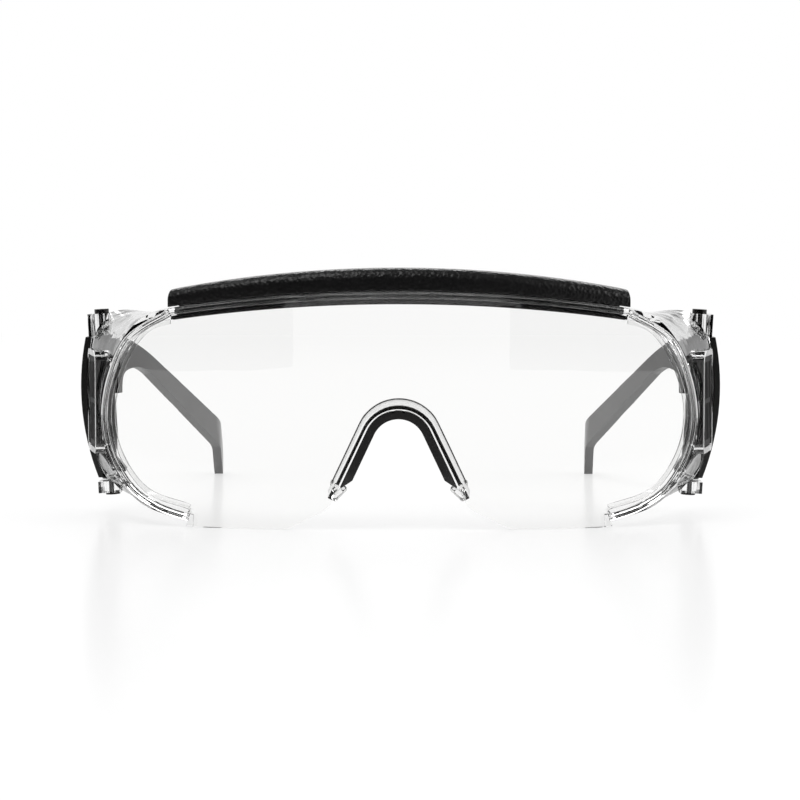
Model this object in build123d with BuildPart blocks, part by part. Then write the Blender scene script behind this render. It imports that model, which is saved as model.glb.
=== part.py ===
from build123d import *
import math
import os

os.makedirs("parts", exist_ok=True)

# Clear safety spectacles worn over other spectacles, open for wear and resting on a table.
# X runs across the face, Y from the front to the temple tips, Z up. Sizes are millimetres.
# Depths are counted from the frontmost point of the lens, heights from the table.
overall_depth = 153.0
front_y = -overall_depth / 2
overrun = 1.0  # how far a cut runs past what it cuts
lens_clearance = 0.1
soft_clearance = 0.25
press_clearance = 0.02
running_clearance = 0.06
turning_gap = 0.3  # between a post's end and its lug
stop_gap = 0.4  # between a post and the shield edge in front of it

# Curved front, a band of an upright cylinder
front_radius = 180.0
rim_half_width = 75.8
brow_end_inset = 17.8  # from the rim's side to the end of the brow
brow_half_width = rim_half_width - brow_end_inset
brow_mid_height = 59.3
brow_end_height = 54.8
rim_width = 3.0
rim_depth = 3.4
rim_end_inset = 24.3  # the rim stops here at the bottom, in a small step
rim_end_half_gap = rim_half_width - rim_end_inset
rim_end_height = 20.0
rim_side_shares = [
    (0.909, 0.876),
    (0.976, 0.693),
    (1, 0.502),
    (0.978, 0.328),
    (0.909, 0.164),
    (0.808, 0.068),
]
rim_tail_share = (0.700, 0.021)
rim_tail_slope = 0.2

# Lens
lens_thickness = 2.2
rest_inset = 29.8  # from the rim's side to the flat that the lens stands on
rest_outer = rim_half_width - rest_inset
rest_inner = 30.0
nose_tip_height = 7.0
nose_foot_shares = (0.434, 0.40)
arch_centre_height = 21.0
arch_leg_angle = math.radians(25.3)
arch_radius = 9.0
flange_start = 1.0
flange_depth = 13.0
flange_radius = 9.8
flange_thickness = 1.1
flange_front_foot = 7.2
flange_rear_foot = 8.4

# Nose pad
pad_thickness = 2.1
pad_front = 0.3
pad_depth = 3.2
pad_foot_height = 11.2
pad_notches = 2
pad_notch_spacing = 2.7
pad_notch_width = 1.0
pad_notch_depth = 0.6

# Frame
seat_width = 1.2  # lip behind the lens edge
seat_low_inset = 23.8  # from the rim's side to the lip's lower end
seat_high_inset = 18.8  # and to its upper end, under the brow bar
ledge_thickness = 2.0
ledge_depth = 7.0
wall = 1.4
wall_start = 1.6
wall_inset = 0.3  # the wall's outside meets the rim this far inside the rim's edge
wall_overlap = 0.4  # the wall's top starts this far inside the ledge's end
shield_depth = 45.0
shield_flare = 6.5  # from the rim's side out to the shield's rear edge
shield_half_width = rim_half_width + shield_flare
shield_top = 52.4
shield_bottom = 5.2
shield_shares = [
    (0.741, 1),
    (0.925, 1),
    (0.969, 0.952),
    (0.989, 0.865),
    (1, 0.695),
    (0.998, 0.483),
    (0.978, 0.250),
    (0.955, 0.106),
    (0.926, 0.046),
    (0.872, 0),
]
shield_tail_slope = 0.35

# Brow bar, a soft channel over the ledge
bar_front = 0.3
bar_back = 9.3
bar_mid_rise = 5.7
bar_end_rise = 4.45
bar_lip_drop = 3.3
bar_corner = 1.6

# Hinges, on axes that lean outwards at the top
hinge_top_inset = 3.85
hinge_bottom_inset = 6.0
post_radius = 2.6
knob_radius = 2.95
knob_height = 2.7
lug_radius = 3.0
lug_root = 7.0
top_lug_drop = 6.2  # from the shield's top to the underside of the top lug
top_lug_height = shield_top - top_lug_drop
top_lug_thickness = 6.0
bottom_lug_height = 8.2
bottom_lug_thickness = 3.0
pin_radius = 1.0
pin_reach = 6.0
pin_head_radius = 1.9
pin_head_thickness = 1.0

# Temples, as side outlines (depth, height), the tail counted forwards from the tip
strap_thickness = 2.5
strap_inset = 4.4  # from the hinge axis in to the inner face
bend_half_gap = 53.5
bend_reach = 23.0
tip_half_gap = 54.5
bend_radius = 24.0
swell_length = 19.0  # from the hinge axis back to where the strap is thin
strap_drop = 0.7  # from the underside of the top lug
strap_top = top_lug_height - strap_drop
shoulder_fall = 0.9
shoulder = (56.0, strap_top - shoulder_fall)
strap_top_start = (76.0, 38.5)
strap_top_end = (22.0, 17.2)
strap_bottom_start = (73.0, 34.6)
strap_bottom_end = (22.0, 9.6)
tail_top = (4.0, 8.8)
tip_flat = 3.5
tip_height = 5.0
tip_round = 1.8
arch_crown = (56.6, 37.0)
arch_shoulder = (52.0, 35.8)
arch_side = 31.0
foot_reach = 4.4
foot_lift = 2.0
foot_height = 4.1
foot_edge = 0.8  # height of the foot at its inner end
foot_top_reach = 2.0

# Cheek, a bowed plate outside the post, and the web that carries it
cheek_thickness = 1.4
cheek_depth = 4.8
cheek_top_outset = 0.5
cheek_bulge = 1.7  # beyond the shield's half width
cheek_bottom_inset = 2.7
cheek_bottom_gap = 0.6
cheek_middle_share = 0.55
web_thickness = 1.8
web_width = 6.5
web_bottom = 18.0
web_top = 42.0

# Side vents
vent_mid_height = 30.2
vent_place_share = 0.50
vent_sink = 0.9
vent_window_length = 15.0
vent_window_height = 23.4
vent_corner = 1.2
housing_border = 1.5
housing_out = 1.4
housing_in = 2.3
cover_seat = 0.1
cover_thickness = 1.0
louvre_thickness = 2.2
vent_columns = 4
vent_rows = 2
vent_edge = 1.6
vent_bar = 1.2
cover_slot_width = 1.6
louvre_slot_width = 2.0
louvre_lean = 0.5


def facing_front(depth):
    return Plane.XZ.offset(-(front_y + depth))


def curve_depth(across):
    return front_radius - math.sqrt(front_radius**2 - across**2)


def keep_layer(near, far):
    # Keeps what lies between two depths behind the curved front
    with BuildSketch(Plane.XY.offset(-overrun)) as ring:
        with Locations((0, front_y + front_radius)):
            Circle(front_radius - near)
            Circle(front_radius - far, mode=Mode.SUBTRACT)
    height = brow_mid_height + bar_mid_rise + 2 * overrun
    extrude(ring.sketch, amount=height, mode=Mode.INTERSECT)


def brow_arc(mid_rise, end_rise):
    ThreePointArc(
        (-brow_half_width, brow_end_height + end_rise),
        (0, brow_mid_height + mid_rise),
        (brow_half_width, brow_end_height + end_rise),
    )


def brow_band(top_mid, top_end, drop, corner=0):
    # Band along the brow, from a raised upper arc down to a lowered lower one
    with BuildSketch(facing_front(-overrun)) as band:
        with BuildLine():
            brow_arc(top_mid, top_end)
            Line((brow_half_width, brow_end_height + top_end), (brow_half_width, brow_end_height - drop))
            brow_arc(-drop, -drop)
            Line((-brow_half_width, brow_end_height - drop), (-brow_half_width, brow_end_height + top_end))
        make_face()
        if corner:
            fillet(band.vertices().group_by(Axis.Y)[-1], corner)
    return band.sketch


def drawn_in(points, amount):
    # The same outline moved inwards, square to its run at each point
    moved = []
    for place, (across, up) in enumerate(points):
        before = points[max(place - 1, 0)]
        after = points[min(place + 1, len(points) - 1)]
        run = after[0] - before[0]
        rise = after[1] - before[1]
        size = math.hypot(run, rise)
        moved.append((across + amount * rise / size, up - amount * run / size))
    return moved


# Outline of the whole front as seen from ahead
brow_rise = brow_mid_height - brow_end_height
brow_radius = (brow_half_width**2 + brow_rise**2) / (2 * brow_rise)
brow_fall = math.asin(brow_half_width / brow_radius)
rim_side = [(across * rim_half_width, up * brow_end_height) for across, up in rim_side_shares]
rim_tail = (rim_tail_share[0] * rim_half_width, rim_tail_share[1] * brow_end_height)
rim_path = [(brow_half_width, brow_end_height), *rim_side, rim_tail, (rest_outer, 0)]


def front_loop(inset):
    inner = drawn_in(rim_path, inset)[1:-1]
    with BuildSketch() as loop:
        with BuildLine():
            brow_arc(-inset, -inset)
            for side in (1, -1):
                Spline(
                    (side * brow_half_width, brow_end_height - inset),
                    *[(side * across, up) for across, up in inner],
                    (side * rest_outer, inset),
                    tangents=[(side * math.cos(brow_fall), -math.sin(brow_fall)), (-side, 0)],
                )
            Line((-rest_outer, inset), (rest_outer, inset))
        make_face()
    return loop.sketch


# Nose arch: two splayed legs and the arc between them
leg_out = (math.cos(arch_leg_angle), math.sin(arch_leg_angle))


def leg_top(radius):
    return radius * leg_out[0], arch_centre_height + radius * leg_out[1]


def leg_at(radius, height):
    across, up = leg_top(radius)
    return across + (up - height) * math.tan(arch_leg_angle), height


def arch_lines(radius, foot):
    # Left leg, arc and right leg, from foot to foot
    across, up = leg_top(radius)
    Line((-foot[0], foot[1]), (-across, up))
    ThreePointArc((-across, up), (0, arch_centre_height + radius), (across, up))
    Line((across, up), foot)


def arch_band(depth, radius, thickness, height):
    foot = leg_at(radius, height)
    outer_foot = (foot[0] + thickness * leg_out[0], foot[1] + thickness * leg_out[1])
    with BuildSketch(facing_front(depth)) as band:
        with BuildLine():
            arch_lines(radius, foot)
            Line(foot, outer_foot)
            arch_lines(radius + thickness, outer_foot)
            Line((-outer_foot[0], outer_foot[1]), (-foot[0], foot[1]))
        make_face()
    return band.sketch


nose_tip = leg_at(arch_radius, nose_tip_height)
nose_foot = (
    nose_tip[0] + nose_foot_shares[0] * (rest_inner - nose_tip[0]),
    nose_foot_shares[1] * nose_tip_height,
)
with BuildSketch() as nose_cut:
    with BuildLine():
        arch_lines(arch_radius, nose_tip)
        for side in (1, -1):
            Spline(
                (side * rest_inner, 0),
                (side * nose_foot[0], nose_foot[1]),
                (side * nose_tip[0], nose_tip[1]),
                tangents=[(-side, 0), (-side * leg_out[1], leg_out[0])],
            )
            Line((side * rest_inner, 0), (side * rest_inner, -overrun))
        Line((-rest_inner, -overrun), (rest_inner, -overrun))
    make_face()

with BuildSketch() as rimless_area:
    with Locations((0, rim_end_height / 2)):
        Rectangle(2 * rim_end_half_gap, rim_end_height + 2 * overrun)
with BuildSketch() as bare_edge:
    add(front_loop(0))
    with Locations((0, rim_end_height / 2)):
        Rectangle(2 * (rim_end_half_gap - lens_clearance), rim_end_height, mode=Mode.INTERSECT)

front_reach = curve_depth(rim_half_width) + rim_depth + 2 * overrun

with BuildPart() as lens:
    with BuildSketch(facing_front(-overrun)):
        add(front_loop(rim_width + lens_clearance))
        add(bare_edge.sketch)
        add(nose_cut.sketch, mode=Mode.SUBTRACT)
    extrude(amount=-front_reach)
    keep_layer(0, lens_thickness)
    flange_front = arch_band(flange_start, arch_radius, flange_thickness, flange_front_foot)
    flange_rear = arch_band(flange_depth, flange_radius, flange_thickness, flange_rear_foot)
    loft([flange_front, flange_rear], ruled=True)
lens.part.label = "lens"
export_step(lens.part, "parts/lens.step")

# Soft strip inside the arch, with two locating notches at its crown
with BuildPart() as nose_pad:
    pad_radius = arch_radius - soft_clearance - pad_thickness
    extrude(arch_band(pad_front, pad_radius, pad_thickness, pad_foot_height), amount=-pad_depth)
    with BuildSketch(facing_front(pad_front)):
        with Locations((0, arch_centre_height + pad_radius + pad_thickness)):
            with GridLocations(pad_notch_spacing, 0, pad_notches, 1):
                Rectangle(pad_notch_width, 2 * pad_notch_depth)
    extrude(amount=-pad_depth, mode=Mode.SUBTRACT)
nose_pad.part.label = "nose_pad"
export_step(nose_pad.part, "parts/nose_pad.step")


# Side shields: a C-shaped wall that flares back from the rim to the rear outline
near_depth = curve_depth(rim_end_half_gap)
far_depth = curve_depth(rim_half_width)
rim_slant = math.atan2(far_depth - near_depth, rim_half_width - rim_end_half_gap)
wall_top = (brow_half_width - wall_overlap, brow_end_height + wall_overlap * math.tan(brow_fall))
front_outline = drawn_in([wall_top, *rim_side, rim_tail], wall_inset)
shield_height = shield_top - shield_bottom
rear_outline = [
    (across * shield_half_width, shield_bottom + up * shield_height) for across, up in shield_shares
]


def slanted_plane(depth):
    # Plane through the side of the rim, square to the table
    return Plane(
        origin=(rim_end_half_gap, front_y + near_depth + depth, 0),
        x_dir=(math.cos(rim_slant), math.sin(rim_slant), 0),
        z_dir=(math.sin(rim_slant), -math.cos(rim_slant), 0),
    )


def on_slant(points):
    return [((across - rim_end_half_gap) / math.cos(rim_slant), up) for across, up in points]


def wall_band(plane, outer, inner, ends):
    with BuildSketch(plane) as band:
        with BuildLine():
            Spline(*outer, tangents=ends)
            Line(outer[-1], inner[-1])
            Spline(*inner, tangents=ends)
            Line(inner[0], outer[0])
        make_face()
    return band.sketch


# Leaning hinge axis, from the top of the bottom lug to the underside of the top lug
hinge_y = front_y + shield_depth + post_radius + stop_gap
hinge_top_x = shield_half_width - hinge_top_inset
hinge_bottom_x = shield_half_width - hinge_bottom_inset
hinge_lean = math.atan2(hinge_top_x - hinge_bottom_x, top_lug_height - bottom_lug_height)
hinge_length = (top_lug_height - bottom_lug_height) / math.cos(hinge_lean)


def across_hinge(height):
    plane = Plane(
        origin=(hinge_bottom_x, hinge_y, bottom_lug_height),
        x_dir=(math.cos(hinge_lean), 0, -math.sin(hinge_lean)),
        z_dir=(math.sin(hinge_lean), 0, math.cos(hinge_lean)),
    )
    return plane.offset(height)


def lug(height, thickness):
    with BuildSketch(across_hinge(height)) as outline:
        Circle(lug_radius)
        with Locations((0, -lug_root / 2)):
            Rectangle(2 * lug_radius, lug_root)
    extrude(outline.sketch, amount=thickness)


def round_bar(height, length, radius, mode=Mode.ADD):
    with BuildSketch(across_hinge(height)) as section:
        Circle(radius)
    extrude(section.sketch, amount=length, mode=mode)


# Vents stand on a plane that follows the shield wall
vent_slant = math.atan2(shield_half_width - rim_half_width, shield_depth - far_depth)


def vent_plane(out):
    along = far_depth + vent_place_share * (shield_depth - far_depth)
    across = rim_half_width + vent_place_share * (shield_half_width - rim_half_width)
    plane = Plane(
        origin=(across, front_y + along, vent_mid_height),
        x_dir=(math.sin(vent_slant), math.cos(vent_slant), 0),
        z_dir=(math.cos(vent_slant), -math.sin(vent_slant), 0),
    )
    return plane.offset(out - vent_sink)


def vent_outline(out, border):
    with BuildSketch(vent_plane(out)) as outline:
        RectangleRounded(
            vent_window_length + 2 * border,
            vent_window_height + 2 * border,
            vent_corner + max(border, 0),
        )
    return outline.sketch


front_inner = on_slant(drawn_in(front_outline, wall))
front_ends = [(math.cos(brow_fall), -math.sin(brow_fall)), (-1, -rim_tail_slope)]
wall_front = wall_band(slanted_plane(wall_start), on_slant(front_outline), front_inner, front_ends)
rear_inner = drawn_in(rear_outline, wall)
rear_ends = [(1, 0), (-1, -shield_tail_slope)]
wall_rear = wall_band(facing_front(shield_depth), rear_outline, rear_inner, rear_ends)
housing_thickness = housing_in + housing_out
lug_bore = pin_radius + press_clearance
with BuildPart() as side_shield:
    loft([wall_front, wall_rear], ruled=True)
    extrude(vent_outline(-housing_in, housing_border), amount=housing_thickness)
    window = vent_outline(-housing_in - overrun, 0)
    extrude(window, amount=housing_thickness + 2 * overrun, mode=Mode.SUBTRACT)
    lug(hinge_length, top_lug_thickness)
    lug(-bottom_lug_thickness, bottom_lug_thickness)
    round_bar(hinge_length - overrun, top_lug_thickness + 2 * overrun, lug_bore, Mode.SUBTRACT)
    round_bar(-bottom_lug_thickness - overrun, bottom_lug_thickness + 2 * overrun, lug_bore, Mode.SUBTRACT)

with BuildPart() as rim:
    with BuildSketch(facing_front(-overrun)):
        add(front_loop(0))
        add(front_loop(rim_width), mode=Mode.SUBTRACT)
        add(rimless_area.sketch, mode=Mode.SUBTRACT)
    extrude(amount=-front_reach)
    keep_layer(0, rim_depth)

with BuildPart() as seat:
    with BuildSketch(facing_front(-overrun)):
        add(front_loop(0))
        add(front_loop(rim_width + seat_width), mode=Mode.SUBTRACT)
        with Locations((0, brow_mid_height / 2)):
            gap = 2 * (rim_half_width - seat_low_inset)
            Rectangle(gap, brow_mid_height + 2 * overrun, mode=Mode.SUBTRACT)
        with Locations((0, brow_mid_height)):
            gap = 2 * (rim_half_width - seat_high_inset)
            Rectangle(gap, brow_mid_height, mode=Mode.SUBTRACT)
    extrude(amount=-front_reach)
    keep_layer(lens_thickness + lens_clearance, rim_depth)

brow_reach = curve_depth(brow_half_width) + bar_back + 2 * overrun
with BuildPart() as ledge:
    extrude(brow_band(0, 0, ledge_thickness), amount=-brow_reach)
    keep_layer(0, ledge_depth)

with BuildPart() as frame:
    add(side_shield.part)
    mirror(about=Plane.YZ)
    add(rim.part)
    add(seat.part)
    add(ledge.part)
frame.part.label = "frame"
export_step(frame.part, "parts/frame.step")


# Brow bar: crown above the ledge, web behind it and lip below it
lip_top = -ledge_thickness - soft_clearance
with BuildPart() as bar_crown:
    extrude(brow_band(bar_mid_rise, bar_end_rise, -soft_clearance, bar_corner), amount=-brow_reach)
    keep_layer(bar_front, bar_back)

with BuildPart() as bar_web:
    extrude(brow_band(bar_end_rise / 2, bar_end_rise / 2, bar_lip_drop), amount=-brow_reach)
    keep_layer(ledge_depth + soft_clearance, bar_back)

with BuildPart() as bar_lip:
    extrude(brow_band(lip_top, lip_top, bar_lip_drop), amount=-brow_reach)
    keep_layer(rim_depth + soft_clearance, bar_back)

with BuildPart() as brow_bar:
    add(bar_crown.part)
    add(bar_web.part)
    add(bar_lip.part)
brow_bar.part.label = "brow_bar"
export_step(brow_bar.part, "parts/brow_bar.step")


# Temple: a strap cut to its side and plan outlines, and the post that it turns on
def at_depth(place):
    return front_y + place[0], place[1]


tip_y = front_y + overall_depth
main_slope = (
    overall_depth - strap_top_end[0] - strap_top_start[0],
    strap_top_end[1] - strap_top_start[1],
)


def from_tip(place):
    return tip_y - place[0], place[1]


def strap_side():
    # Side outline, from the top of the post round the tip to the arch behind the post
    with BuildSketch(Plane.YZ) as outline:
        with BuildLine():
            Spline(
                (hinge_y, strap_top),
                at_depth(shoulder),
                at_depth(strap_top_start),
                tangents=[(1, 0), main_slope],
            )
            Polyline(
                at_depth(strap_top_start),
                from_tip(strap_top_end),
                from_tip(tail_top),
                (tip_y, tip_height),
                (tip_y, 0),
                from_tip((tip_flat, 0)),
                from_tip(strap_bottom_end),
                at_depth(strap_bottom_start),
            )
            Spline(
                at_depth(strap_bottom_start),
                at_depth(arch_crown),
                at_depth(arch_shoulder),
                (hinge_y + post_radius, arch_side),
                tangents=[(-main_slope[0], -main_slope[1]), (0, -1)],
            )
            Polyline((hinge_y + post_radius, arch_side), (hinge_y, arch_side), (hinge_y, strap_top))
        make_face()
        fillet(outline.vertices().filter_by_position(Axis.X, tip_y - overrun, tip_y + overrun), tip_round)
    return outline.sketch


def strap_plan():
    # Plan outline, thick round the post and thin from the end of the swell
    inner_front = (hinge_top_x - strap_inset, hinge_y)
    inner_bend = (bend_half_gap, tip_y - bend_reach)
    lean = math.atan2(inner_front[0] - inner_bend[0], inner_bend[1] - inner_front[1])
    swell_y = hinge_y + swell_length
    swell_x = inner_front[0] - swell_length * math.tan(lean) + strap_thickness / math.cos(lean)
    outer_bend = (bend_half_gap + strap_thickness, tip_y - bend_reach)
    with BuildSketch(Plane.XY.offset(-overrun)) as outline:
        with BuildLine():
            Polyline((hinge_top_x + post_radius, hinge_y), inner_front, inner_bend, (tip_half_gap, tip_y))
            Polyline(
                (tip_half_gap, tip_y),
                (tip_half_gap + strap_thickness, tip_y),
                outer_bend,
                (swell_x, swell_y),
            )
            Spline(
                (swell_x, swell_y),
                (hinge_top_x + post_radius, hinge_y),
                tangents=[(swell_x - outer_bend[0], swell_y - outer_bend[1]), (0, -1)],
            )
        make_face()
        corners = outline.vertices().filter_by_position(
            Axis.Y, inner_bend[1] - overrun, inner_bend[1] + overrun
        )
        fillet(corners, bend_radius)
    return outline.sketch


cheek_top = (shield_half_width + cheek_top_outset, top_lug_height - turning_gap)
cheek_middle = (
    shield_half_width + cheek_bulge,
    bottom_lug_height + cheek_middle_share * (top_lug_height - bottom_lug_height),
)
cheek_foot = (shield_half_width - cheek_bottom_inset, bottom_lug_height + cheek_bottom_gap)


def cheek_area(depth, width, low, high):
    # Bowed area of a set width, seen from ahead, between two heights
    outer = [cheek_top, cheek_middle, cheek_foot]
    inner = [(across - width, up) for across, up in outer]
    with BuildSketch(facing_front(depth)) as area:
        with BuildLine():
            ThreePointArc(*outer)
            Line(outer[-1], inner[-1])
            ThreePointArc(*inner)
            Line(inner[0], outer[0])
        make_face()
        with Locations((shield_half_width, (low + high) / 2)):
            Rectangle(2 * shield_half_width, high - low, mode=Mode.INTERSECT)
    return area.sketch


def foot_area():
    # Gusset at the bottom of the post, on a plane through the hinge axis
    axis = across_hinge(foot_lift)
    with BuildSketch(Plane(origin=axis.origin, x_dir=axis.x_dir, z_dir=(0, -1, 0))) as area:
        with BuildLine():
            Polyline(
                (0, 0),
                (-foot_reach, 0),
                (-foot_reach, foot_edge),
                (-foot_top_reach, foot_height),
                (0, foot_height),
                close=True,
            )
        make_face()
    return area.sketch


def vent_slots(out, width, shift=0):
    with BuildSketch(vent_plane(out)) as slots:
        with Locations((shift, 0)):
            with GridLocations(slot_pitch, slot_height + vent_bar, vent_columns, vent_rows):
                Rectangle(width, slot_height)
    return slots.sketch


slot_height = (vent_window_height - 2 * vent_edge - (vent_rows - 1) * vent_bar) / vent_rows
slot_pitch = (vent_window_length - 2 * vent_edge) / vent_columns
vent_out = vent_plane(0).z_dir
vent_along = vent_plane(0).x_dir

for side, word in ((1, "right"), (-1, "left")):
    with BuildPart() as temple:
        extrude(strap_side(), amount=hinge_top_x + post_radius + overrun)
        extrude(strap_plan(), amount=strap_top + 2 * overrun, mode=Mode.INTERSECT)
        round_bar(turning_gap, hinge_length - 2 * turning_gap, post_radius)
        round_bar(hinge_length - turning_gap - knob_height, knob_height, knob_radius)
        extrude(foot_area(), amount=-post_radius)
        cheek_front = shield_depth + stop_gap
        extrude(cheek_area(cheek_front, cheek_thickness, 0, brow_mid_height), amount=-cheek_depth)
        web_front = cheek_front + cheek_depth - web_thickness
        extrude(cheek_area(web_front, web_width, web_bottom, web_top), amount=-web_thickness)
        bore = pin_radius + running_clearance
        round_bar(turning_gap - overrun, pin_reach + overrun, bore, Mode.SUBTRACT)
        round_bar(hinge_length - turning_gap - pin_reach, pin_reach + overrun, bore, Mode.SUBTRACT)
        if side < 0:
            mirror(about=Plane.YZ, mode=Mode.REPLACE)
    temple.part.label = f"temple_{word}"
    export_step(temple.part, f"parts/temple_{word}.step")

    with BuildPart() as hinge_pin:
        round_bar(hinge_length - pin_reach, pin_reach + top_lug_thickness, pin_radius)
        round_bar(hinge_length + top_lug_thickness, pin_head_thickness, pin_head_radius)
        if side < 0:
            mirror(about=Plane.YZ, mode=Mode.REPLACE)
    hinge_pin.part.label = f"hinge_pin_{word}"
    export_step(hinge_pin.part, f"parts/hinge_pin_{word}.step")

    with BuildPart() as lower_pin:
        round_bar(-bottom_lug_thickness, bottom_lug_thickness + pin_reach, pin_radius)
        round_bar(-bottom_lug_thickness - pin_head_thickness, pin_head_thickness, pin_head_radius)
        if side < 0:
            mirror(about=Plane.YZ, mode=Mode.REPLACE)
    lower_pin.part.label = f"lower_pin_{word}"
    export_step(lower_pin.part, f"parts/lower_pin_{word}.step")

    with BuildPart() as vent_cover:
        extrude(vent_outline(cover_seat, -lens_clearance), amount=cover_thickness)
        extrude(
            vent_slots(cover_seat - overrun, cover_slot_width),
            amount=cover_thickness + 2 * overrun,
            mode=Mode.SUBTRACT,
        )
        if side < 0:
            mirror(about=Plane.YZ, mode=Mode.REPLACE)
    vent_cover.part.label = f"vent_cover_{word}"
    export_step(vent_cover.part, f"parts/vent_cover_{word}.step")

    with BuildPart() as vent_louvre:
        extrude(vent_outline(-louvre_thickness, -lens_clearance), amount=louvre_thickness)
        extrude(
            vent_slots(-louvre_thickness - overrun, louvre_slot_width, louvre_lean * louvre_thickness),
            amount=louvre_thickness + 2 * overrun,
            dir=vent_out - louvre_lean * vent_along,
            mode=Mode.SUBTRACT,
        )
        if side < 0:
            mirror(about=Plane.YZ, mode=Mode.REPLACE)
    vent_louvre.part.label = f"vent_louvre_{word}"
    export_step(vent_louvre.part, f"parts/vent_louvre_{word}.step")
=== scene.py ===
import math

import bmesh
import bpy
from mathutils import Matrix, Vector


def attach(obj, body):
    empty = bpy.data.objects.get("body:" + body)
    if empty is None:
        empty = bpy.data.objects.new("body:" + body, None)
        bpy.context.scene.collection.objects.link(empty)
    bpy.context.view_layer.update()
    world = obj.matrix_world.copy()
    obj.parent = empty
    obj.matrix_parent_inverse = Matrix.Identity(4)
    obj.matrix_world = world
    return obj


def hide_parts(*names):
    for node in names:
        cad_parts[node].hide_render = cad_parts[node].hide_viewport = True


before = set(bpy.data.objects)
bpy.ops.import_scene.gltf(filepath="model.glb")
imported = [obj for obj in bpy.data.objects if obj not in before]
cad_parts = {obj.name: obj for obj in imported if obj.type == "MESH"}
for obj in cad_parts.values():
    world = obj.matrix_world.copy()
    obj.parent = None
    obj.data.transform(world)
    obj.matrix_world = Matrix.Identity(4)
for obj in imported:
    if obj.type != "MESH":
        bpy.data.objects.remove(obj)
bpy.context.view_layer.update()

mm = 0.001
print("frame loaded")


# shader trees
def join(tree, socket, value):
    if isinstance(value, Wire):
        tree.links.new(value.socket, socket)
    else:
        socket.default_value = value


class Wire:  # an output socket that takes Python's arithmetic
    def __init__(self, tree, socket):
        self.tree = tree
        self.socket = socket

    def reckon(self, operation, first, second):
        node = self.tree.nodes.new("ShaderNodeMath")
        node.operation = operation
        join(self.tree, node.inputs[0], first)
        join(self.tree, node.inputs[1], second)
        return Wire(self.tree, node.outputs[0])

    def __add__(self, other):
        return self.reckon("ADD", self, other)

    def __mul__(self, other):
        return self.reckon("MULTIPLY", self, other)

    def __pow__(self, other):
        return self.reckon("POWER", self, other)

    def __rsub__(self, other):
        return self.reckon("SUBTRACT", other, self)

    __radd__ = __add__


class NodeTree:  # makes nodes in one tree
    def __init__(self, tree):
        self.tree = tree

    def node(self, kind, settings=None, sockets=None, out=0):
        node = self.tree.nodes.new("ShaderNode" + kind)
        for word, value in (settings or {}).items():
            if word == "stops":
                ramp = node.color_ramp
                while len(ramp.elements) < len(value):
                    ramp.elements.new(1)
                for element, (place, tone) in zip(ramp.elements, value):
                    element.position = place
                    element.color = (tone, tone, tone, 1)
            else:
                setattr(node, word, value)
        for word, value in (sockets or {}).items():
            join(self.tree, node.inputs[word], value)
        return Wire(self.tree, node.outputs[out])

    def place(self):
        return self.node("TexCoord", out="Object")

    def noise(self, scale, detail=2.0, rough=0.5):
        return self.node("TexNoise", None, {
            "Vector": self.place(), "Scale": scale, "Detail": detail, "Roughness": rough})

    def mix(self, share, low, high):
        picture = self.tree.nodes.new("ShaderNodeMix")
        picture.data_type = "RGBA"
        join(self.tree, picture.inputs["Factor"], share)
        join(self.tree, picture.inputs["A"], low if isinstance(low, Wire) else (*low, 1))
        join(self.tree, picture.inputs["B"], high if isinstance(high, Wire) else (*high, 1))
        return Wire(self.tree, picture.outputs["Result"])

    def blend(self, share, first, second):
        mixer = self.tree.nodes.new("ShaderNodeMixShader")
        for place, value in enumerate((share, first, second)):
            join(self.tree, mixer.inputs[place], value)
        return Wire(self.tree, mixer.outputs[0])


class Finish(NodeTree):  # a material with one Principled shader
    socketNames = {
        "colour": "Base Color", "rough": "Roughness", "metal": "Metallic", "clear": "Transmission Weight",
        "ior": "IOR", "specular": "Specular IOR Level", "normal": "Normal", "sheen": "Sheen Weight",
        "sheenRough": "Sheen Roughness",
    }

    def __init__(self, name, **steady):
        self.material = bpy.data.materials.new(name)
        self.material.use_nodes = True
        super().__init__(self.material.node_tree)
        self.shader = self.tree.nodes["Principled BSDF"]
        self.set(**steady)

    def set(self, **sockets):
        for word, value in sockets.items():
            join(self.tree, self.shader.inputs[self.socketNames[word]], value)

    def bump(self, height, depth):
        return self.node("Bump", None, {"Height": height, "Distance": depth, "Strength": 1.0})


# finishes: a noise has its scale, its detail and, where it isn't the usual one, its roughness
def makeClearPlastic(name, look):
    finish = Finish(name, clear=1.0, ior=look["ior"])
    tint = finish.mix(finish.noise(*look["cloud"]), look["tintLow"], look["tintHigh"])
    # painted shade: the colour goes dark where the plastic is seen edge-on, standing in for the dark edges
    # that refraction gives
    grazing = finish.node("LayerWeight", None, {"Blend": 0.5}, "Facing") ** look["edgeShadeSharp"]
    finish.set(colour=finish.mix(grazing * look["edgeShadeShare"], tint, look["paintedEdgeShade"]))
    finish.set(rough=look["rough"] + finish.noise(*look["smudge"]) * look["smudgeRange"])
    finish.set(normal=finish.bump(finish.noise(*look["flow"]), look["flowDepth"]))
    return finish.material


def makeGrain(name, look):  # fine leather-like skin of the soft parts
    finish = Finish(name, specular=look["specular"])
    cells = finish.node("TexVoronoi", {"feature": "F1"}, {
        "Vector": finish.place(), "Scale": look["grainScale"]}, "Distance")
    creases = finish.noise(*look["creases"])
    shade = finish.noise(*look["wear"]) * grainShares["wearTone"] + cells * grainShares["cellTone"]
    finish.set(colour=finish.mix(shade, look["dark"], look["light"]))
    finish.set(rough=look["rough"] + creases * look["roughRange"])
    height = cells * grainShares["cellHeight"] + creases * grainShares["creaseHeight"]
    finish.set(normal=finish.bump(height, look["grainDepth"]))
    return finish.material


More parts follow.
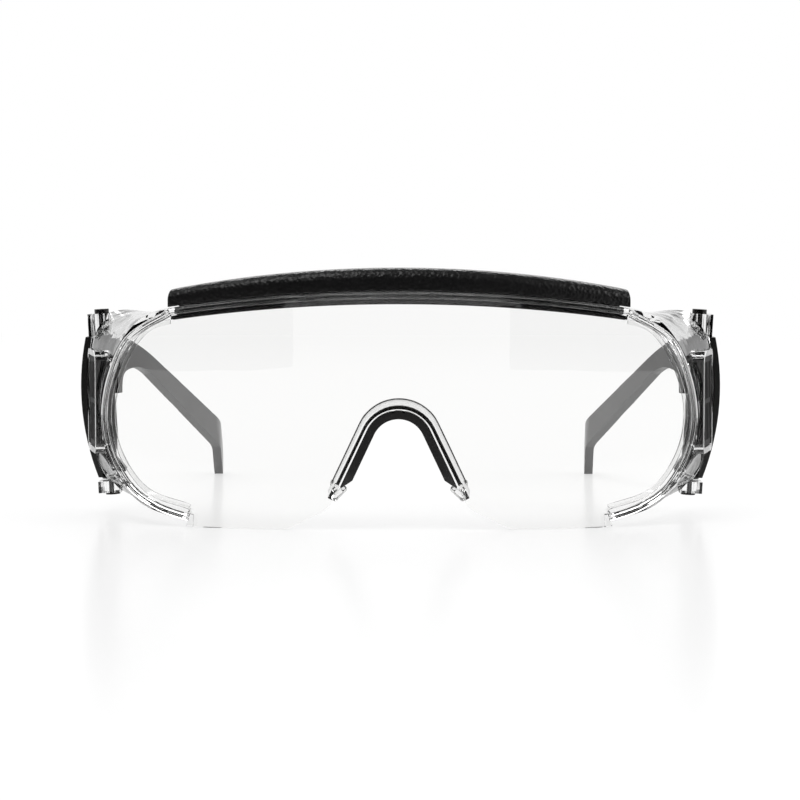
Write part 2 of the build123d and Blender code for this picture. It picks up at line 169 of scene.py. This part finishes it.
def makeMoulded(name, look):  # satin black moulding with a fine spark-eroded skin
    finish = Finish(name, specular=look["specular"], sheen=look["sheen"], sheenRough=look["sheenRough"])
    skin = finish.noise(*look["skin"])
    patch = finish.noise(*look["patch"])
    finish.set(colour=finish.mix(patch, look["dark"], look["light"]))
    finish.set(rough=look["rough"] + patch * look["roughRange"])
    finish.set(normal=finish.bump(skin, look["skinDepth"]))
    return finish.material


def makeBlackSteel(name, look):
    finish = Finish(name, metal=1.0)
    streak = finish.noise(*look["streak"])
    finish.set(colour=finish.mix(streak, look["dark"], look["light"]))
    finish.set(rough=look["rough"] + streak * look["roughRange"])
    finish.set(normal=finish.bump(streak, look["streakDepth"]))
    return finish.material


lensLook = {
    "ior": 1.586, "tintLow": (0.985, 0.985, 0.98), "tintHigh": (1, 1, 0.995), "cloud": (18.0, 3.0),
    "rough": 0.0, "smudgeRange": 0.012, "smudge": (60.0, 4.0, 0.6), "flow": (30.0, 1.0),
    "flowDepth": 0.00002, "edgeShadeSharp": 4.0, "edgeShadeShare": 0.9, "paintedEdgeShade": (0.03, 0.03, 0.035),
}
frameLook = {
    "ior": 1.586, "tintLow": (0.93, 0.93, 0.93), "tintHigh": (0.98, 0.98, 0.975), "cloud": (60.0, 3.0),
    "rough": 0.0, "smudgeRange": 0.03, "smudge": (120.0, 4.0, 0.6), "flow": (110.0, 1.0),
    "flowDepth": 0.00025, "edgeShadeSharp": 5.0, "edgeShadeShare": 0.9, "paintedEdgeShade": (0.03, 0.03, 0.035),
}
grainShares = {"wearTone": 0.6, "cellTone": 0.5, "cellHeight": 0.7, "creaseHeight": 0.5}
browLook = {
    "dark": (0.0015, 0.0015, 0.0017), "light": (0.006, 0.0056, 0.006), "specular": 0.5, "rough": 0.3,
    "roughRange": 0.18, "grainScale": 1150.0, "creases": (500.0, 3.0, 0.6), "wear": (90.0, 2.0),
    "grainDepth": 0.00022,
}
padLook = {
    "dark": (0.005, 0.005, 0.005), "light": (0.018, 0.017, 0.017), "specular": 0.35, "rough": 0.34,
    "roughRange": 0.2, "grainScale": 2600.0, "creases": (900.0, 3.0, 0.6), "wear": (160.0, 2.0),
    "grainDepth": 0.00004,
}
templeLook = {
    "dark": (0.005, 0.005, 0.005), "light": (0.012, 0.0118, 0.011), "specular": 0.5, "rough": 0.26,
    "roughRange": 0.12, "skin": (1600.0, 2.0, 0.6), "skinDepth": 0.00003, "patch": (45.0, 3.0),
    "sheen": 0.25, "sheenRough": 0.3,
}
ventLook = {
    "dark": (0.003, 0.003, 0.003), "light": (0.007, 0.007, 0.007), "specular": 0.12, "rough": 0.5,
    "roughRange": 0.16, "skin": (1800.0, 2.0, 0.6), "skinDepth": 0.00003, "patch": (120.0, 3.0),
    "sheen": 0.0, "sheenRough": 0.3,
}
pinLook = {
    "dark": (0.02, 0.02, 0.021), "light": (0.06, 0.058, 0.056), "rough": 0.3, "roughRange": 0.2,
    "streak": (500.0, 3.0), "streakDepth": 0.00002,
}

finishes = {
    "clear_lens": makeClearPlastic("lensClear", lensLook),
    "clear_frame": makeClearPlastic("frameClear", frameLook),
    "soft_black": makeGrain("browGrain", browLook),
    "soft_pad": makeGrain("noseRubber", padLook),
    "temple_black": makeMoulded("templeSatin", templeLook),
    "vent_black": makeMoulded("ventSatin", ventLook),
    "pin_black": makeBlackSteel("pinSteel", pinLook),
}
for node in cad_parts.values():
    for place, old in enumerate(node.data.materials):
        node.data.materials[place] = finishes[old.name]
print("finishes made")


# camera: places in metres, angles in degrees, lens in millimetres
cameraSettings = {
    "place": (0.0069, -0.7665, 0.0800), "pitch": 3.94, "yaw": 0.542, "lens": 126.0, "reach": 20.0,
}
cameraData = bpy.data.cameras.new("camera")
cameraData.lens = cameraSettings["lens"]
cameraData.clip_end = cameraSettings["reach"]
camera = bpy.data.objects.new("camera", cameraData)
camera.location = cameraSettings["place"]
pitch, yaw = math.radians(cameraSettings["pitch"]), math.radians(cameraSettings["yaw"])
camera.rotation_euler = (math.pi / 2 - pitch, 0, yaw)
bpy.context.scene.collection.objects.link(camera)
bpy.context.scene.camera = camera


# floor, world and lamps: sizes and places in metres, turns in degrees
white = (1, 1, 1, 1)
floorSettings = {
    "half": 6.0, "drop": 0.00005, "rough": 0.2, "shade": (0.9, 0.9, 0.9), "paler": (0.92, 0.92, 0.92),
    "cloudScale": 3.0, "glow": 0.62, "glowStrength": 1.0, "whiteFrom": 0.3, "whiteTo": 1.0,
    "glossDarkFrom": -0.22, "glossDarkTo": -0.1, "glossDarkStrength": 0.03,
}
worldSettings = {
    "glassStops": [(0.0, 1.0), (0.60, 1.0), (0.74, 0.3), (1.0, 0.1)],
    "glossStops": [(0.0, 1.0), (0.60, 1.0), (0.80, 0.25), (1.0, 0.12)],
    "lightStops": [(0.0, 0.8), (1.0, 0.8)],
    "frontShare": 0.0, "backFrom": -0.25, "backTo": 0.35,
}
cardSettings = {
    "size": (0.5, 0.5), "distance": 0.75, "turns": (38, -38, 142, -142),
    "colour": (0.01, 0.01, 0.01, 1), "rough": 0.9,
}
lampAim = Vector((0, 0, 0.03))
lampSettings = {
    "keyLamp": {"place": (-0.30, -0.35, 0.95), "size": (0.6, 0.25), "power": 2.6},
    "sideLamp": {"place": (0.75, -0.25, 0.40), "size": (0.2, 0.6), "power": 2.0},
    "backLamp": {"place": (0.1, 0.80, 0.60), "size": (0.9, 0.35), "power": 3.5},
}


def makeSheet(name, bm, material):
    mesh = bpy.data.meshes.new(name)
    bm.to_mesh(mesh)
    bm.free()
    mesh.materials.append(material)
    sheet = bpy.data.objects.new(name, mesh)
    bpy.context.scene.collection.objects.link(sheet)
    return sheet


def makeFloorFinish(settings):
    finish = Finish("floorWhite", rough=settings["rough"])
    cloud = finish.noise(settings["cloudScale"])
    finish.set(colour=finish.mix(cloud, settings["shade"], settings["paler"]))
    path = finish.tree.nodes.new("ShaderNodeLightPath")
    straight, mirrored, bent = [Wire(finish.tree, path.outputs[word]) for word in (
        "Is Camera Ray", "Is Glossy Ray", "Is Transmission Ray")]
    seen = straight.reckon("MAXIMUM", straight, mirrored)
    seen = seen.reckon("MAXIMUM", seen, bent)
    glow = finish.node("Emission", None, {"Color": white, "Strength": settings["glowStrength"]})
    # far from the object the floor is all glow, so that it stays as white as the background
    distance = finish.node("VectorMath", {"operation": "LENGTH"}, {"Vector": finish.place()}, "Value")
    span = {"From Min": settings["whiteFrom"], "From Max": settings["whiteTo"], "To Min": settings["glow"]}
    share = finish.node("MapRange", None, {"Value": distance, **span})
    lit = finish.blend(seen * share, Wire(finish.tree, finish.shader.outputs[0]), glow)
    # painted reflection: glossy rays alone see the floor go dark a little in front of the object, standing
    # in for a dark studio there
    depth = finish.node("SeparateXYZ", None, {"Vector": finish.place()}, "Y")
    span = {"From Min": settings["glossDarkFrom"], "From Max": settings["glossDarkTo"], "To Min": 1.0, "To Max": 0.0}
    ahead = finish.node("MapRange", None, {"Value": depth, **span})
    dark = finish.node("Emission", None, {"Color": white, "Strength": settings["glossDarkStrength"]})
    lit = finish.blend(mirrored * (1 - bent) * ahead, lit, dark)
    join(finish.tree, finish.tree.nodes["Material Output"].inputs["Surface"], lit)
    return finish.material


def makeFloor(settings):
    bm = bmesh.new()
    bmesh.ops.create_grid(bm, x_segments=1, y_segments=1, size=settings["half"])
    bmesh.ops.translate(bm, vec=(0, 0, -settings["drop"]), verts=bm.verts)
    makeSheet("floor", bm, makeFloorFinish(settings))


def makeWorld(settings):
    world = bpy.data.worlds.new("studio")
    world.use_nodes = True
    bpy.context.scene.world = world
    sky = NodeTree(world.node_tree)
    direction = sky.node("TexCoord", out="Generated")
    height = sky.node("SeparateXYZ", None, {"Vector": direction}, "Z") * 0.5 + 0.5
    back = sky.node("SeparateXYZ", None, {"Vector": direction}, "Y")
    behind = sky.node("MapRange", None, {
        "Value": back, "From Min": settings["backFrom"], "From Max": settings["backTo"],
        "To Min": settings["frontShare"]})
    glass, gloss, light = [sky.node("ValToRGB", {"stops": settings[word]}, {"Fac": height}) for word in (
        "glassStops", "glossStops", "lightStops")]
    gloss = sky.mix(behind, (0, 0, 0), gloss)
    colour = sky.mix(sky.node("LightPath", out="Is Glossy Ray"), light, gloss)
    colour = sky.mix(sky.node("LightPath", out="Is Transmission Ray"), colour, glass)
    colour = sky.mix(sky.node("LightPath", out="Is Camera Ray"), colour, white[:3])
    join(sky.tree, sky.tree.nodes["Background"].inputs["Color"], colour)


def makeCard(name, settings, turn, material):  # a black card that only rays through the clear plastic see
    bm = bmesh.new()
    width, height = settings["size"]
    bmesh.ops.create_grid(bm, x_segments=1, y_segments=1, size=0.5)
    bmesh.ops.scale(bm, vec=(width, height, 1), verts=bm.verts)
    bmesh.ops.rotate(bm, verts=bm.verts, matrix=Matrix.Rotation(math.pi / 2, 3, "X"))
    bmesh.ops.translate(bm, vec=(0, settings["distance"], height / 2), verts=bm.verts)
    bmesh.ops.rotate(bm, verts=bm.verts, cent=(0, 0, 0), matrix=Matrix.Rotation(math.radians(turn), 3, "Z"))
    card = makeSheet(name, bm, material)
    card.visible_camera = card.visible_diffuse = card.visible_shadow = card.visible_glossy = False


def makeLamp(name, settings):
    data = bpy.data.lights.new(name, "AREA")
    data.shape = "RECTANGLE"
    data.size, data.size_y = settings["size"]
    data.energy = settings["power"]
    lamp = bpy.data.objects.new(name, data)
    lamp.location = settings["place"]
    lamp.rotation_euler = (lampAim - lamp.location).to_track_quat("-Z", "Y").to_euler()
    bpy.context.scene.collection.objects.link(lamp)


makeFloor(floorSettings)
makeWorld(worldSettings)
cardBlack = Finish("cardBlack", colour=cardSettings["colour"], rough=cardSettings["rough"], specular=0.0)
for place, turn in enumerate(cardSettings["turns"]):
    makeCard(f"card{place}", cardSettings, turn, cardBlack.material)
for name, settings in lampSettings.items():
    makeLamp(name, settings)
bpy.context.scene.view_settings.view_transform = "Standard"
print("studio set")


# meshes from a bmesh drawn in millimetres
smoothAngle = math.radians(40)
joinDistance = 0.000001


def makePiece(name, bm, slot, body):
    bmesh.ops.scale(bm, vec=(mm, mm, mm), verts=bm.verts)
    bmesh.ops.remove_doubles(bm, verts=bm.verts, dist=joinDistance)
    bmesh.ops.recalc_face_normals(bm, faces=bm.faces)
    mesh = bpy.data.meshes.new(name)
    bm.to_mesh(mesh)
    bm.free()
    mesh.materials.append(finishes[slot])
    for face in mesh.polygons:
        face.use_smooth = True
    piece = bpy.data.objects.new(name, mesh)
    bpy.context.scene.collection.objects.link(piece)
    mesh.set_sharp_from_angle(angle=smoothAngle)
    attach(piece, body)
    return piece


def addBevel(piece, edge):
    bevel = piece.modifiers.new("bevel", "BEVEL")
    bevel.width = edge["width"]
    bevel.segments = edge["segments"]
    bevel.limit_method = "ANGLE"
    bevel.angle_limit = math.radians(edge["angle"])


# rounded edges on the two temples
templeEdge = {"weld": 0.000005, "width": 0.00045, "segments": 2, "angle": 32}
for name in ("temple_left", "temple_right"):
    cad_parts[name].modifiers.new("weld", "WELD").merge_threshold = templeEdge["weld"]
    addBevel(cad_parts[name], templeEdge)
print("edges rounded")


# the curved front and the nose arch, which the pieces below lie on, in millimetres and degrees
# as the pieces are, whose bevels alone have their widths in metres
curvedFront = {"y": -76.5, "radius": 180.0}
noseArch = {"centreHeight": 21.0, "legAngle": 25.3}
lean = math.radians(noseArch["legAngle"])
legRun = Vector((math.sin(lean), 0, -math.cos(lean)))  # down the leg on the positive side
legOut = Vector((math.cos(lean), 0, math.sin(lean)))  # square to it, away from the arch


def legLength(radius, footHeight):  # of an arch at this radius, from its shoulder down to the foot
    return (radius * math.sin(lean) + noseArch["centreHeight"] - footHeight) / math.cos(lean)


def arcDrop(radius, across):  # how far an arc has fallen away at a distance from its middle
    return radius - math.sqrt(radius**2 - across**2)


def browHeight(bar, across):
    fall = bar["midHeight"] - bar["endHeight"]
    radius = (bar["halfWidth"] ** 2 + fall**2) / (2 * fall)
    return bar["midHeight"] - arcDrop(radius, across)


# brow bar: a soft channel, drawn as a section and swept round the curved front
browBar = {
    "halfWidth": 58.0, "midHeight": 59.3, "endHeight": 54.8,
    "front": 0.3, "back": 9.3, "midRise": 5.7, "endRise": 4.45, "ledgeTop": 0.25, "ledgeBack": 7.25,
    "lipTop": -2.25, "lipBottom": -3.3, "lipFront": 3.65,
    "crownRound": 3.0, "backRound": 1.8, "smallRound": 0.35, "endRound": 0.8,
    "roundSteps": 6, "steps": 60, "endSteps": 6,
    "edge": {"width": 0.0004, "segments": 3, "angle": 35},
}


def makeBrowBar(bar):
    bm = bmesh.new()
    frontRadius = curvedFront["radius"]
    corners = [
        (bar["front"], bar["ledgeTop"], bar["smallRound"]),
        (bar["front"], bar["midRise"], bar["crownRound"]),
        (bar["back"], bar["midRise"], bar["backRound"]),
        (bar["back"], bar["lipBottom"], bar["smallRound"]),
        (bar["lipFront"], bar["lipBottom"], bar["smallRound"]),
        (bar["lipFront"], bar["lipTop"], bar["smallRound"]),
        (bar["ledgeBack"], bar["lipTop"], 0),
        (bar["ledgeBack"], bar["ledgeTop"], 0),
    ]
    points = [bm.verts.new((0, curvedFront["y"] + depth, rise)) for depth, rise, _ in corners]
    bm.faces.new(points)
    for point, (_, _, radius) in zip(points, corners):
        if radius:
            bmesh.ops.bevel(bm, geom=[point], offset=radius, segments=bar["roundSteps"], profile=0.5,
                            affect="VERTICES", material=-1)
    bmesh.ops.delete(bm, geom=bm.faces[:], context="FACES_ONLY")
    middle = (0, curvedFront["y"] + frontRadius, 0)
    sweep = math.asin(bar["halfWidth"] / frontRadius)
    endSweep = bar["endRound"] / frontRadius
    bmesh.ops.rotate(bm, verts=bm.verts, cent=middle, matrix=Matrix.Rotation(-sweep, 3, "Z"))
    section = bm.verts[:] + bm.edges[:]
    end = (endSweep, bar["endSteps"])
    for angle, steps in (end, (2 * (sweep - endSweep), bar["steps"]), end):
        section = bmesh.ops.spin(bm, geom=section, cent=middle, axis=(0, 0, 1), angle=angle,
                                 steps=steps)["geom_last"]
    bmesh.ops.holes_fill(bm, edges=[edge for edge in bm.edges if edge.is_boundary])
    for point in bm.verts:
        across = abs(point.co.x)
        share = 1 - (1 - bar["endRise"] / bar["midRise"]) * (across / bar["halfWidth"]) ** 2
        arc = math.asin(min(across / frontRadius, 1)) * frontRadius
        toEnd = max(sweep * frontRadius - arc, 0)
        drop = 0
        if toEnd < bar["endRound"]:
            drop = arcDrop(bar["endRound"], bar["endRound"] - toEnd)
        rise = point.co.z
        if rise > bar["ledgeTop"]:
            rise = rise * share * (1 - drop / bar["endRise"] * rise / bar["midRise"])
        point.co.z = browHeight(bar, across) + rise
    piece = makePiece("browBar", bm, "soft_black", "front")
    addBevel(piece, bar["edge"])
    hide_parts("brow_bar")


makeBrowBar(browBar)
print("brow bar made")


# nose pad: a soft strip round the arch with two notches at its crown
nosePad = {
    "innerRadius": 6.65, "thickness": 2.1, "front": 0.3, "depth": 3.2, "footHeight": 12.4,
    "tipLength": 3.0, "tipShare": 0.2, "steps": 28, "legSteps": 6,
    "notchSpacing": 2.7, "notchWidth": 1.0, "notchDepth": 0.6, "flatNormal": 0.9,
    "edge": {"width": 0.00035, "segments": 3, "angle": 35},
}


def pick(items, kind):
    return [item for item in items if isinstance(item, kind)]


def addPadLeg(bm, end, side, pad):
    vert, edge, face = bmesh.types.BMVert, bmesh.types.BMEdge, bmesh.types.BMFace
    length = legLength(pad["innerRadius"], pad["footHeight"])
    down = Vector((side * legRun.x, 0, legRun.z))
    for _ in range(pad["legSteps"]):
        grown = bmesh.ops.extrude_edge_only(bm, edges=pick(end, edge))["geom"]
        newPoints = set(pick(grown, vert))
        bmesh.ops.translate(bm, vec=down * (length / pad["legSteps"]), verts=list(newPoints))
        sides = {line for patch in pick(grown, face) for line in patch.edges}
        end = [*newPoints, *[line for line in sides if newPoints.issuperset(line.verts)]]
    tipPoints = pick(bmesh.ops.extrude_edge_only(bm, edges=pick(end, edge))["geom"], vert)
    middle = sum((point.co for point in tipPoints), Vector()) / len(tipPoints)
    tip = middle + Vector((side * legOut.x, 0, legOut.z)) * (pad["thickness"] / 2)
    for point in tipPoints:
        point.co = tip.lerp(point.co, pad["tipShare"]) + down * pad["tipLength"]


def cutNotches(bm, pad):
    for side in (-1, 1):
        for edge in (-1, 1):
            across = side * pad["notchSpacing"] / 2 + edge * pad["notchWidth"] / 2
            bmesh.ops.bisect_plane(bm, geom=bm.verts[:] + bm.edges[:] + bm.faces[:], plane_co=(across, 0, 0),
                                   plane_no=(1, 0, 0))
    tops = []
    for face in bm.faces:
        offset = abs(abs(face.calc_center_median().x) - pad["notchSpacing"] / 2)
        if face.normal.z > pad["flatNormal"] and offset < pad["notchWidth"] / 2:
            tops.append(face)
    cut = bmesh.ops.extrude_face_region(bm, geom=tops)["geom"]
    bmesh.ops.delete(bm, geom=tops, context="FACES")
    bmesh.ops.translate(bm, vec=(0, 0, -pad["notchDepth"]), verts=pick(cut, bmesh.types.BMVert))


def makeNosePad(pad):
    bm = bmesh.new()
    outer = pad["innerRadius"] + pad["thickness"]
    near = curvedFront["y"] + pad["front"]
    far = near + pad["depth"]
    corners = [bm.verts.new((radius, depth, 0)) for radius, depth in (
        (pad["innerRadius"], near), (outer, near), (outer, far), (pad["innerRadius"], far))]
    for first, second in zip(corners, corners[1:] + corners[:1]):
        bm.edges.new((first, second))
    bmesh.ops.rotate(bm, verts=bm.verts, cent=(0, 0, 0), matrix=Matrix.Rotation(-lean, 3, "Y"))
    start = bm.verts[:] + bm.edges[:]
    turned = bmesh.ops.spin(bm, geom=start, cent=(0, 0, 0), axis=(0, -1, 0), angle=math.pi - 2 * lean,
                            steps=pad["steps"])
    addPadLeg(bm, start, 1, pad)
    addPadLeg(bm, turned["geom_last"], -1, pad)
    bmesh.ops.holes_fill(bm, edges=[edge for edge in bm.edges if edge.is_boundary])
    bmesh.ops.recalc_face_normals(bm, faces=bm.faces)
    cutNotches(bm, pad)
    bmesh.ops.translate(bm, vec=(0, 0, noseArch["centreHeight"]), verts=bm.verts)
    piece = makePiece("nosePad", bm, "soft_pad", "front")
    addBevel(piece, pad["edge"])
    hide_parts("nose_pad")


makeNosePad(nosePad)
print("nose pad made")


# cords
def smoothPath(points, steps):  # a curve through the points, by Catmull and Rom's weights
    rows = [points[0], *points, points[-1]]
    path = []
    for before, start, end, after in zip(rows, rows[1:], rows[2:], rows[3:]):
        for step in range(steps):
            t = step / steps
            square = (2 * before - 5 * start + 4 * end - after) * t**2
            cube = (3 * start - before - 3 * end + after) * t**3
            path.append(0.5 * (2 * start + (end - before) * t + square + cube))
    path.append(points[-1])
    return path


def runAt(path, place):  # the direction of the path at one of its points
    return (path[min(place + 1, len(path) - 1)] - path[max(place - 1, 0)]).normalized()


def makeTube(bm, centres, radius, sides):  # a round cord along the centres, with closed ends
    last = None
    for place, centre in enumerate(centres):
        run = runAt(centres, place)
        across = run.cross(Vector((0, 1, 0))).normalized()
        turned = Matrix((across, across.cross(run), run)).transposed().to_4x4()
        isEnd = place in (0, len(centres) - 1)
        ring = bmesh.ops.create_circle(bm, cap_ends=isEnd, segments=sides, radius=radius,
                                       matrix=Matrix.Translation(centre) @ turned)
        loop = list({edge for point in ring["verts"] for edge in point.link_edges})
        if last:
            bmesh.ops.bridge_loops(bm, edges=last + loop)
        last = loop


def flipped(points, side):
    return [Vector((side * point.x, point.y, point.z)) for point in points]


# fine ribs moulded along the outside of the rim
rimRibs = {
    "radius": 0.42, "sides": 8, "insets": (0.75, 1.85), "steps": 12,
    "path": [(58.0, 54.8), (68.9, 48.0), (73.98, 37.98), (75.8, 27.51), (74.13, 17.97), (68.9, 8.99),
             (61.25, 3.73), (53.06, 1.15)],
}


def makeRimRibs(ribs):
    bm = bmesh.new()
    outline = smoothPath([Vector((across, 0, up)) for across, up in ribs["path"]], ribs["steps"])
    for inset in ribs["insets"]:
        centres = []
        for place, point in enumerate(outline):
            run = runAt(outline, place)
            moved = point + Vector((run.z, 0, -run.x)) * inset
            depth = curvedFront["y"] + arcDrop(curvedFront["radius"], moved.x)
            centres.append(Vector((moved.x, depth, moved.z)))
        for side in (1, -1):
            makeTube(bm, flipped(centres, side), ribs["radius"], ribs["sides"])
    makePiece("rimRibs", bm, "clear_frame", "front")


makeRimRibs(rimRibs)
print("rim ribs made")


# two fine ribs on the face of the brow ledge, which catch long streaks of light
ledgeRibs = {
    "halfWidth": 57.6, "rises": (-0.35, -1.55), "radius": 0.3, "sides": 8, "steps": 70, "proud": 0.1,
}


def makeLedgeRibs(ribs, bar):
    bm = bmesh.new()
    for rise in ribs["rises"]:
        centres = []
        for step in range(ribs["steps"] + 1):
            across = ribs["halfWidth"] * (2 * step / ribs["steps"] - 1)
            depth = curvedFront["y"] + arcDrop(curvedFront["radius"], across) - ribs["proud"]
            centres.append(Vector((across, depth, browHeight(bar, across) + rise)))
        makeTube(bm, centres, ribs["radius"], ribs["sides"])
    makePiece("ledgeRibs", bm, "clear_frame", "front")


makeLedgeRibs(ledgeRibs, browBar)
print("ledge ribs made")


# flange bead: a dark soft cord along the rear edge of the nose flange, painted shade for the dark line that
# refraction gives at that clear edge, and the two clear feet at its ends
flangeShadeBead = {
    "depth": 13.2, "radius": 0.5, "sides": 10, "archRadius": 10.6, "footHeight": 11.0, "steps": 30,
    "tip": (16.1, 9.0, 7.2), "footRadius": 0.85, "footSteps": 5, "padFoot": (13.6, 2.2, 10.2),
}


def beadPath(bead):  # from one foot over the arch to the other, at the bead's depth behind the front
    heel = legOut * bead["archRadius"] + legRun * legLength(bead["archRadius"], bead["footHeight"])
    path = [heel]
    for step in range(bead["steps"] + 1):
        turn = lean + (math.pi - 2 * lean) * step / bead["steps"]
        path.append(Vector((math.cos(turn), 0, math.sin(turn))) * bead["archRadius"])
    path.append(Vector((-heel.x, 0, heel.z)))
    return [point + Vector((0, bead["depth"], noseArch["centreHeight"])) for point in path]


def makeFlangeShadeBead(bead):
    bm = bmesh.new()
    front = Vector((0, curvedFront["y"], 0))
    makeTube(bm, [point + front for point in beadPath(bead)], bead["radius"], bead["sides"])
    # the bead's dark finish is painted shade: the clear flange edge looks dark there only by refraction
    makePiece("flangeShadeBead", bm, "soft_pad", "front")


def makeFlangeFeet(bead):  # each foot joins the end of the bead and of the pad in one pointed tip
    bm = bmesh.new()
    front = Vector((0, curvedFront["y"], 0))
    end = Vector(bead["tip"])
    for side in (1, -1):
        for start in (beadPath(bead)[0], Vector(bead["padFoot"])):
            steps = range(bead["footSteps"] + 1)
            centres = [start.lerp(end, step / bead["footSteps"]) + front for step in steps]
            makeTube(bm, flipped(centres, side), bead["footRadius"], bead["sides"])
    makePiece("flangeFeet", bm, "clear_lens", "front")


makeFlangeShadeBead(flangeShadeBead)
makeFlangeFeet(flangeShadeBead)
print("flange edge made")
